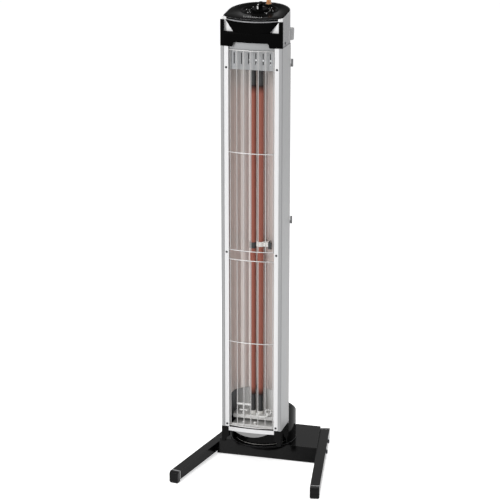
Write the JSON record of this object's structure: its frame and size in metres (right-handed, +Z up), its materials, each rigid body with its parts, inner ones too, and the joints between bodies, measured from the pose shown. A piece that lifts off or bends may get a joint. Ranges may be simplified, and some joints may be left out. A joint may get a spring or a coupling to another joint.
{
  "type": "far infrared heater",
  "caption": "Slim floor-standing far infrared heater: a swivelling tower with two upright heating rods behind a wire guard, a rotary control on top, on a splayed steel foot.",
  "frame": {"origin": "on the floor, at the middle of the bounding box", "axes": "+Z up, the heating front faces -Y, +X points to the viewer's right when the front is looked at"},
  "size_m": [0.447, 0.463, 1.375],
  "materials": {
    "black_steel": "gloss black stove enamel",
    "black_plastic": "gloss black moulded plastic",
    "cap_plastic": "satin black moulded plastic",
    "pad_rubber": "matt dark rubber",
    "silver_paint": "satin silver-grey paint",
    "silver_plastic": "silver plastic with a fine sparkle",
    "bright_steel": "bright chromed wire",
    "reflector_sheet": "polished thin sheet",
    "satin_sheet": "satin bare sheet",
    "zinc_steel": "zinc plated steel",
    "rod_coating": "matt red-brown ceramic coating",
    "cold_end_black": "matt black sleeve",
    "ceramic": "matt white ceramic",
    "nylon": "natural nylon",
    "lamp_amber": "clear amber lens",
    "switch_grey": "matt grey moulded plastic",
    "screw_black": "black oxide steel"
  },
  "bodies": {
    "foot": {"base_beam": "black_steel", "left_leg": "black_steel", "right_leg": "black_steel", "front_foot_caps": "cap_plastic", "rear_foot_caps": "cap_plastic", "foot_pads": "pad_rubber", "leg_bolts": "screw_black", "leg_nuts": "zinc_steel", "swivel_plate": "black_steel", "swivel_spindle": "zinc_steel", "spindle_ring": "zinc_steel", "bearing_washer": "nylon"},
    "tower": {"swivel_drum": "black_steel", "rear_cowl": "black_plastic", "tower_bracket": "zinc_steel", "bottom_cover": "black_plastic", "bottom_rail": "satin_sheet", "left_side_panel": "silver_paint", "right_side_panel": "silver_paint", "left_guard_rail": "satin_sheet", "right_guard_rail": "satin_sheet", "back_panel": "silver_paint", "reflector": "reflector_sheet", "lower_tray": "satin_sheet", "upper_rail": "satin_sheet", "louvre_plate": "satin_sheet", "left_rod": "rod_coating", "right_rod": "rod_coating", "rod_cold_ends": "cold_end_black", "lower_ceramics": "ceramic", "middle_support": "ceramic", "support_clips": "cold_end_black", "upper_guard": "bright_steel", "lower_guard": "bright_steel", "guard_screws": "screw_black", "head_front_cover": "black_plastic", "head_top_panel": "black_plastic", "head_rear_cover": "silver_plastic", "cover_screws": "screw_black", "rotary_switch": "switch_grey", "pilot_lamp": "lamp_amber", "rear_handle": "silver_plastic", "cord_hooks": "cap_plastic", "cord_gland": "cap_plastic", "terminal_block": "ceramic", "thermostat": "ceramic", "tip_over_switch": "switch_grey"},
    "knob": {"control_knob": "black_plastic"}
  },
  "joints": [
    {"name": "tower_swivel", "type": "hinge", "parent": "foot", "child": "tower", "pos_m": [-0.027, 0.0885, 0.06], "axis": [0, 0, 1], "range_deg": [-35, 35]},
    {"name": "knob_turn", "type": "hinge", "parent": "tower", "child": "knob", "pos_m": [-0.027, 0.037, 1.3376], "axis": [0, -0.1097, 0.994], "range_deg": [-135, 135]}
  ]
}
